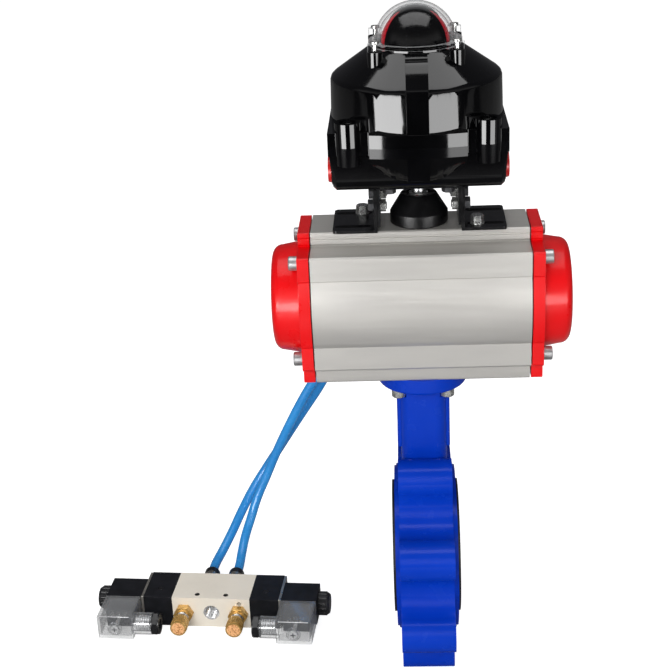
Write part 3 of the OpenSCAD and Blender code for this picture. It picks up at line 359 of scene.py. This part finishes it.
def soften(obj, width):
    """Rounds a node's hard edges by that many millimetres, with modifiers only."""
    weld = obj.modifiers.new("weld", "WELD")
    weld.merge_threshold = 0.002 * MM
    flat = obj.modifiers.new("flat", "DECIMATE")
    flat.decimate_type = "DISSOLVE"
    flat.angle_limit = math.radians(0.5)
    bevel = obj.modifiers.new("edges", "BEVEL")
    bevel.width = width * MM
    bevel.segments = 3
    bevel.limit_method = "ANGLE"
    bevel.angle_limit = math.radians(38)
    bevel.use_clamp_overlap = True
    bevel.miter_outer = "MITER_ARC"
    shade = obj.modifiers.new("shade", "WEIGHTED_NORMAL")
    shade.mode = "FACE_AREA"
    shade.weight = 60
    shade.keep_sharp = False


for name, (paint, width) in LOOKS.items():
    wear(NODES[name], paint)
    if width:
        soften(NODES[name], width)


# ---------- small pieces ----------

# The solenoid valve's own frame: the middle of its underside, which stands on the floor, turned a little.
SOLENOID_AT = Vector((-174.0 * MM, 41.9 * MM, FLOOR_Z))
SOLENOID = Matrix.Translation(SOLENOID_AT) @ Matrix.Rotation(math.radians(-4.5), 4, "Z")
FRONT_Y = -18.75       # the block's front face
PORT_Z = 13.5          # the height of its ports


def at(x, y, z, axis=None, base=None):
    """A frame at a place in millimetres whose Z runs along the given signed axis."""
    quarter = math.pi / 2
    turn = {None: Matrix(),
            "+Y": Matrix.Rotation(-quarter, 4, "X"), "-Y": Matrix.Rotation(quarter, 4, "X"),
            "+X": Matrix.Rotation(quarter, 4, "Y"), "-X": Matrix.Rotation(-quarter, 4, "Y")}[axis]
    return (base or Matrix()) @ Matrix.Translation(Vector((x, y, z)) * MM) @ turn


class Shape:
    """Gathers rings of points, in millimetres, into one mesh."""

    def __init__(self):
        self.verts, self.faces = [], []

    def loft(self, place, rings, closed=True):
        """Skins a list of equal rings and, where it is closed, caps both ends."""
        start, k = len(self.verts), len(rings[0])
        for ring in rings:
            self.verts += [place @ (Vector(p) * MM) for p in ring]
        for i in range(len(rings) - 1):
            for j in range(k):
                a, b = start + i * k + j, start + i * k + (j + 1) % k
                self.faces.append((a, b, b + k, a + k))
        if closed:
            self.faces.append(tuple(start + j for j in reversed(range(k))))
            self.faces.append(tuple(start + (len(rings) - 1) * k + j for j in range(k)))
        return self

    def lathe(self, place, profile, n=48):
        """Turns a closed outline of (radius, height) about Z."""
        rings = [[(r * math.cos(t), r * math.sin(t), z) for r, z in profile]
                 for t in (2 * math.pi * i / n for i in range(n + 1))]
        return self.loft(place, rings, closed=False)

    def helix(self, place, radius, pitch, turns, section, steps=32):
        """Winds a closed section of (out, along) points about Z."""
        rings = []
        for i in range(int(turns * steps) + 1):
            t = 2 * math.pi * i / steps
            rise = pitch * i / steps
            rings.append([((radius + out) * math.cos(t), (radius + out) * math.sin(t), along + rise)
                          for out, along in section])
        return self.loft(place, rings)

    def slab(self, place, size, edge=0.2):
        """A box with chamfered edges that stands on the frame's origin."""
        w, d, h = size

        def ring(inset, z):
            x, y, c = w / 2 - inset, d / 2 - inset, edge
            return [(x, -y + c, z), (x, y - c, z), (x - c, y, z), (-x + c, y, z),
                    (-x, y - c, z), (-x, -y + c, z), (-x + c, -y, z), (x - c, -y, z)]

        return self.loft(place, [ring(edge, 0), ring(0, edge), ring(0, h - edge), ring(edge, h)])

    def make(self, name, paint, body, slot, smooth=40):
        """Makes the mesh an object that rides on a body."""
        mesh = bpy.data.meshes.new(name)
        mesh.from_pydata(self.verts, [], self.faces)
        bm = bmesh.new()
        bm.from_mesh(mesh)
        bmesh.ops.remove_doubles(bm, verts=bm.verts, dist=0.0005 * MM)
        bmesh.ops.recalc_face_normals(bm, faces=bm.faces)
        bm.to_mesh(mesh)
        bm.free()
        mesh.shade_smooth()
        mesh.set_sharp_from_angle(angle=math.radians(smooth))
        piece = bpy.data.objects.new(name, mesh)
        scene.collection.objects.link(piece)
        mesh.materials.append(PAINT[paint])
        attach(piece, body)


def wire(r, n=8):
    """A round section."""
    return [(r * math.cos(2 * math.pi * i / n), r * math.sin(2 * math.pi * i / n)) for i in range(n)]


def inner_thread(pitch, depth):
    """A ridge that points at the axis, wound along a hole's wall."""
    return [(0.03, -0.46 * pitch), (-depth, -0.06 * pitch), (-depth, 0.06 * pitch), (0.03, 0.46 * pitch)]


def outer_thread(pitch, depth):
    """A ridge that points away from the axis, wound along a rod."""
    return [(-0.03, -0.46 * pitch), (depth, -0.06 * pitch), (depth, 0.06 * pitch), (-0.03, 0.46 * pitch)]


LUGS = 8
LUG_CIRCLE_R = 80                      # the circle that the lugs' holes stand on
LUG_THREAD_X = -18.5                   # where the threads in the lugs start
STOP_X, STOP_Y, STOP_Z = 14, 54.8, 176.1


def make_threads():
    """Threads in the lugs' holes and the supply port, and on the stop bolts."""
    lugs = Shape()
    for i in range(LUGS):
        a = math.radians(360 / LUGS * (i + 0.5))
        hole = at(LUG_THREAD_X, LUG_CIRCLE_R * math.cos(a), LUG_CIRCLE_R * math.sin(a), "+X")
        lugs.helix(hole, 7.0, 2.0, 18.5, inner_thread(2.0, 0.8))
    lugs.make("lug_threads", "bolt_steel", "unit", "zinc_steel")
    supply = Shape()
    supply.helix(at(0, FRONT_Y + 1.2, PORT_Z, "+Y", SOLENOID), 5.9, 1.34, 7.5, inner_thread(1.34, 0.7), 40)
    supply.make("supply_port_thread", "port_silver", "unit", "fitting_metal")
    stops = Shape()
    for side in (-1, 1):
        stops.helix(at(side * STOP_X, STOP_Y, STOP_Z, "+Y"), 4.0, 1.25, 8, outer_thread(1.25, 0.35))
    stops.make("stop_bolt_threads", "zinc", "unit", "zinc_steel")


make_threads()

THROTTLE_X = 22.5
SPRING_OUT = 8.1         # from the block's front face to the spring's start
FILTER_OUT = 24.25       # from the block's front face to the sintered face
FILTER_R = 5.5


def filter_rings(seed, count=14, steps=64):
    """Rings of a rough disc with a raised face, from its rim to its middle."""
    rings = []
    for i in range(count):
        r = FILTER_R * (1 - i / (count - 1)) + 0.02
        ring = []
        for j in range(steps):
            t = 2 * math.pi * j / steps
            x, y = r * math.cos(t), r * math.sin(t)
            bump = math.sin(5.1 * x + 1.7 * seed) * math.sin(4.7 * y) + math.sin(3.1 * x - 4.3 * y + seed)
            ring.append((x, y, 0 if i == 0 else 0.36 + 0.07 * bump))
        rings.append(ring)
    return rings


def make_throttle_parts():
    """The exhaust throttles' springs and the sintered filters in their ends."""
    springs = Shape()
    for side in (-1, 1):
        foot = at(side * THROTTLE_X, FRONT_Y - SPRING_OUT, PORT_Z, "-Y", SOLENOID)
        springs.helix(foot, 4.75, 1.35, 3, wire(0.5), 36)
    springs.make("throttle_springs", "zinc", "unit", "fitting_metal")
    for name, side in (("left", -1), ("right", 1)):
        place = at(side * THROTTLE_X, FRONT_Y - FILTER_OUT, PORT_Z, "-Y", SOLENOID)
        face = Shape().loft(place, filter_rings(side))
        face.make(f"{name}_throttle_filter", "sinter", f"{name}_throttle", "throttle_brass", 80)


make_throttle_parts()

COIL_X = 57.7                    # the coils' middle
CON_X = COIL_X + 14.5            # the connectors' middle
CON_IN = CON_X - 14.3            # the connectors' inner side
NECK_Y, NECK_Z = -38.75, 14.9    # the cable necks' axis
CON_FRONT_Y = FRONT_Y - 31       # the connectors' front face
PIN_STEP = 5.2                   # from one terminal to the next


def make_connector_parts():
    """Clear screw bosses, neck threads and terminals in both connectors, a thin near-black cross on each
    screw head as painted shade of its slot, and a bright strip along each front top edge as a painted
    highlight.
    """
    bosses, threads, terminals, slot_shades, highlight_strips = Shape(), Shape(), Shape(), Shape(), Shape()
    for side in (-1, 1):
        front = at(side * CON_X, CON_FRONT_Y, 17, "-Y", SOLENOID)
        bosses.lathe(front, [(3.8, -0.1), (5.7, -0.1), (5.7, 1.6), (5.4, 1.9), (4.1, 1.9), (3.8, 1.6)])
        # A thin near-black cross on each screw head: painted shade of its slot.
        slot_shades.slab(front @ at(0, 0, 2.52), (4.2, 0.8, 0.16), 0.06)
        slot_shades.slab(front @ at(0, 0, 2.52), (0.8, 4.2, 0.16), 0.06)
        neck = at(side * (CON_IN - 13.0), NECK_Y, NECK_Z, "+X" if side > 0 else "-X", SOLENOID)
        threads.helix(neck, 6.45, 1.9, 6, inner_thread(1.5, 1.0), 36)
        # A thin bright strip along each connector's front top edge: a painted highlight of the edge.
        highlight_strips.slab(at(side * CON_X, CON_FRONT_Y + 0.6, 26.85, None, SOLENOID), (24, 0.9, 0.5), 0.2)
        for i in (-1, 0, 1):
            x = side * CON_X + PIN_STEP * i
            terminals.slab(at(x, FRONT_Y - 21, 22.3, None, SOLENOID), (3.4, 6.4, 0.8))
            terminals.lathe(at(x, FRONT_Y - 22.4, 23.1, None, SOLENOID),
                            [(0.01, 0), (1.3, 0), (1.3, 0.7), (1.0, 1.0), (0.01, 1.0)], 24)
            terminals.slab(at(x, FRONT_Y - 17.6, 18.6, None, SOLENOID), (3.4, 0.8, 4.4))
    bosses.make("connector_screw_bosses", "clear_connector", "unit", "connector_clear")
    threads.make("connector_neck_threads", "thread_clear", "unit", "connector_clear")
    terminals.make("connector_terminals", "zinc", "unit", "zinc_steel")
    highlight_strips.make("connector_edge_highlight_strips", "edge_highlight_clear", "unit", "connector_clear")
    slot_shades.make("connector_screw_slot_shades", "core_dark_and_slot_shade", "unit", "dark_steel")


make_connector_parts()

PUCK_MARK_AT = (0, -5.5, 282.8)


def make_puck_mark():
    """A white ring with a red and white field on the pinion's end, in front of the shaft."""
    place = at(*PUCK_MARK_AT)
    ring, red, white = Shape(), Shape(), Shape()
    ring.lathe(place, [(2.7, 0.02), (3.4, 0.02), (3.4, 0.5), (3.2, 0.6), (2.9, 0.6), (2.7, 0.5)])
    red.slab(place @ at(-1.0, 0, 0.02), (1.9, 4.0, 0.4))
    white.slab(place @ at(1.0, 0, 0.02), (1.9, 4.0, 0.4))
    ring.make("puck_mark_ring", "white_mark", "drive_train", "puck_plastic")
    red.make("puck_mark_red", "red_mark", "drive_train", "drum_red")
    white.make("puck_mark_white", "white_mark", "drive_train", "puck_plastic")


make_puck_mark()


# ---------- faces with a second paint ----------

PORT_WALL_R = (4.5, 6.55)        # between these, a face in the supply port belongs to its wall
PORT_DEPTH = 12.5
HOLE_X, HOLE_Y = 11.8, FRONT_Y + 5.5
HOLE_WALL_R = 2.12               # a little more than the through holes' own radius
BLOCK_H = 27


def second_paint(node, paint, picked):
    """Gives another material to a node's faces whose centres the test picks, in the valve's own frame."""
    obj = NODES[node]
    obj.data.materials.append(PAINT[paint])
    to_local = SOLENOID.inverted() @ obj.matrix_world
    for face in obj.data.polygons:
        if picked((to_local @ face.center) / MM):
            face.material_index = len(obj.data.materials) - 1


def front_of_core(p):
    """The part of a connector's core that shows through its clear shell."""
    return p.y < FRONT_Y - 17.5


def in_port(p):
    """The wall of the supply port."""
    off_axis = math.hypot(p.x, p.z - PORT_Z)
    return PORT_WALL_R[0] < off_axis < PORT_WALL_R[1] and FRONT_Y < p.y < FRONT_Y + PORT_DEPTH


def in_through_hole(p):
    """The walls of the two holes that run through the block from top to bottom."""
    return math.hypot(abs(p.x) - HOLE_X, p.y - HOLE_Y) < HOLE_WALL_R and 0.2 < p.z < BLOCK_H - 0.2


second_paint("connector_cores", "port_silver", front_of_core)
second_paint("solenoid_body", "port_silver", in_port)
# The through holes' walls get the near-black paint: painted shade inside the holes.
second_paint("solenoid_body", "hole_wall_shade", in_through_hole)


# ---------- light and floor ----------

def soft_box(name, place, target, size, radiance, diffuse=True, glossy=True):
    """A rectangular light that shines from one point towards another and isn't seen itself."""
    data = bpy.data.lights.new(name, "AREA")
    data.shape = "RECTANGLE"
    data.size, data.size_y = size
    data.energy = radiance * math.pi * size[0] * size[1]
    lamp = bpy.data.objects.new(name, data)
    lamp.location = place
    lamp.rotation_euler = (Vector(target) - Vector(place)).to_track_quat("-Z", "Y").to_euler()
    lamp.visible_camera = False
    lamp.visible_diffuse = diffuse
    lamp.visible_glossy = glossy
    scene.collection.objects.link(lamp)


def grey(level):
    return (level, level, level)


def only_for(ray_kind, tree, others, these, out=None):
    """Mixes two colours: the second one for rays of the given kind, the first one for all others."""
    ray = tree.nodes.new("ShaderNodeLightPath")
    mix = tree.nodes.new("ShaderNodeMix")
    mix.data_type = "RGBA"
    mix.inputs["A"].default_value = (*others, 1)
    mix.inputs["B"].default_value = (*these, 1)
    tree.links.new(ray.outputs[ray_kind], mix.inputs["Factor"])
    if out is not None:
        tree.links.new(mix.outputs["Result"], out)
    return mix


def color_ramp(tree, stops):
    """A colour ramp through pairs of place and colour."""
    ramp = tree.nodes.new("ShaderNodeValToRGB")
    places = ramp.color_ramp.elements
    for end, (place, color) in ((0, stops[0]), (1, stops[-1])):
        places[end].position = place
        places[end].color = (*color, 1)
    for place, color in stops[1:-1]:
        places.new(place).color = (*color, 1)
    return ramp


ROOM_DARK = (0.06, 0.06, 0.065)      # what gloss sees of the room where nothing is lit


def front_glow(tree):
    """What gloss sees of the room: dark, with a paler band above the horizon on the front side."""
    way = tree.nodes.new("ShaderNodeTexCoord")
    split = tree.nodes.new("ShaderNodeSeparateXYZ")
    tree.links.new(way.outputs["Generated"], split.inputs["Vector"])
    band = color_ramp(tree, [(0.0, ROOM_DARK), (0.14, grey(0.36)), (0.32, grey(0.32)), (0.5, grey(0.12)),
                             (0.75, ROOM_DARK)])
    tree.links.new(split.outputs["Z"], band.inputs["Fac"])
    front = tree.nodes.new("ShaderNodeMapRange")
    front.inputs["From Min"].default_value = 0.1
    front.inputs["From Max"].default_value = -0.2
    tree.links.new(split.outputs["Y"], front.inputs["Value"])
    glow = tree.nodes.new("ShaderNodeMix")
    glow.data_type = "RGBA"
    glow.inputs["A"].default_value = (*ROOM_DARK, 1)
    tree.links.new(front.outputs["Result"], glow.inputs["Factor"])
    tree.links.new(band.outputs["Color"], glow.inputs["B"])
    return glow.outputs["Result"]


def make_room():
    """White to the camera, soft grey to the surfaces, and nearly dark in their reflections."""
    world = bpy.data.worlds.new("studio")
    world.use_nodes = True
    tree = world.node_tree
    dim = only_for("Is Glossy Ray", tree, grey(0.32), ROOM_DARK)
    tree.links.new(front_glow(tree), dim.inputs["B"])
    sky = tree.nodes["Background"]
    seen = only_for("Is Camera Ray", tree, grey(0), grey(1), sky.inputs["Color"])
    tree.links.new(dim.outputs["Result"], seen.inputs["A"])
    scene.world = world


def make_lamps():
    """Two low boxes that only gloss sees, fills that only matt surfaces see, and a pair overhead."""
    strip = (0.44, 0.19)
    strip_z = 0.195
    over = (1.5, 1.0)
    soft_box("left_box", (-0.41, -0.54, strip_z), (0, 0, strip_z), strip, 14.0, diffuse=False)
    soft_box("right_box", (0.385, -0.56, strip_z), (0, 0, strip_z), strip, 8.5, diffuse=False)
    soft_box("fill_box", (-0.25, -1.35, 0.72), (0, 0, 0.15), (0.9, 0.7), 8.5, glossy=False)
    soft_box("top_box", (0.0, -0.02, 1.5), (0, -0.02, 0.2), over, 2.4, diffuse=False)
    soft_box("top_fill", (0.0, 0.05, 1.5), (0, 0.05, 0.2), over, 1.8, glossy=False)
    soft_box("back_box", (0.3, 1.3, 0.9), (0, 0, 0.2), (1.2, 0.8), 1.2, glossy=False)


def table_seen_in_gloss(ground):
    """Gloss sees the table with painted light and shade: one pale band in front of the object, painted
    shade near the object, and the rest of it much darker.
    """
    tree = ground.tree
    split = tree.nodes.new("ShaderNodeSeparateXYZ")
    tree.links.new(ground.coords, split.inputs["Vector"])
    along = ground.ramp(split.outputs["Y"], -1.0, 0.2)
    # Painted light and shade for gloss: a pale lit stretch in front, painted shade just in front of the
    # object, greyer behind it, near black past the far edge.
    bands = color_ramp(tree, [(0.03, grey(0.01)), (0.12, grey(0.6)), (0.36, grey(0.6)), (0.52, grey(0.08)),
                              (0.78, grey(0.08)), (0.97, grey(0.3))])
    tree.links.new(along, bands.inputs["Fac"])
    base = ground.shader.inputs["Base Color"]
    pale = base.links[0].from_socket
    mix = only_for("Is Glossy Ray", tree, grey(0), grey(0), base)
    tree.links.new(pale, mix.inputs["A"])
    tree.links.new(bands.outputs["Color"], mix.inputs["B"])


def make_table():
    """A white table at the unit's lowest point, too wide for its edges to be seen."""
    reach = 60
    corners = [(-reach, -reach, FLOOR_Z), (reach, -reach, FLOOR_Z), (reach, reach, FLOOR_Z),
               (-reach, reach, FLOOR_Z)]
    mesh = bpy.data.meshes.new("floor")
    mesh.from_pydata(corners, [], [(0, 1, 2, 3)])
    floor = bpy.data.objects.new("floor", mesh)
    scene.collection.objects.link(floor)
    ground = Paint("floor_white", grey(0.70), 0.8)
    ground.mottle(grey(0.68), 0.5).gloss(2, 0.75, 0.9)
    table_seen_in_gloss(ground)
    ground.shader.inputs["Emission Strength"].default_value = 1.0
    only_for("Is Camera Ray", ground.tree, grey(0), grey(0.8), ground.shader.inputs["Emission Color"])
    mesh.materials.append(ground.mat)


make_room()
make_lamps()
make_table()
scene.view_settings.view_transform = "Standard"
